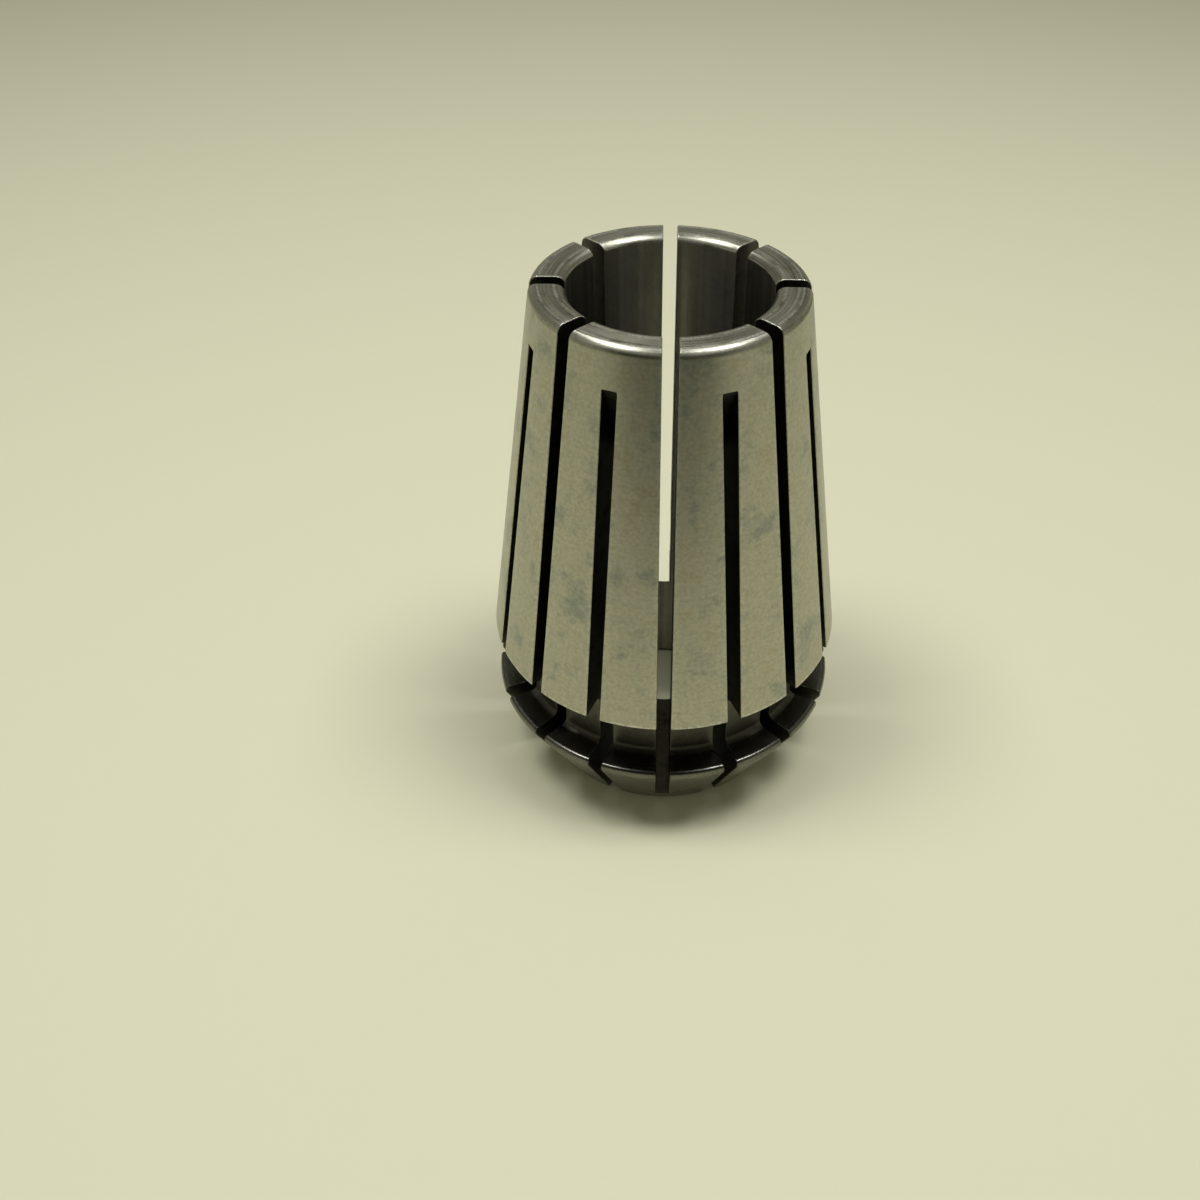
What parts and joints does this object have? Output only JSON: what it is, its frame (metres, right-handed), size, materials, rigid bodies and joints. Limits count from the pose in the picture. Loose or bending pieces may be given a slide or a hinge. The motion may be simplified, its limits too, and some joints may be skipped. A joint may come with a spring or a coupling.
{
  "type": "er collet",
  "caption": "Tapered spring collet with a through bore, slit from both ends, with a grooved flange for the clamping nut.",
  "frame": {"origin": "centre of the front face, on the axis; the front face is the nut end", "axes": "+Z along the axis from the front face to the rear face; one rear slot lies along +X and one along -Y"},
  "size_m": [0.021, 0.021, 0.0315],
  "materials": {
    "ground_steel": "hardened spring steel, ground on the cones and in the bore, fine turned on the end faces and in the groove"
  },
  "bodies": {
    "root": {"collet": "ground_steel"}
  },
  "joints": []
}
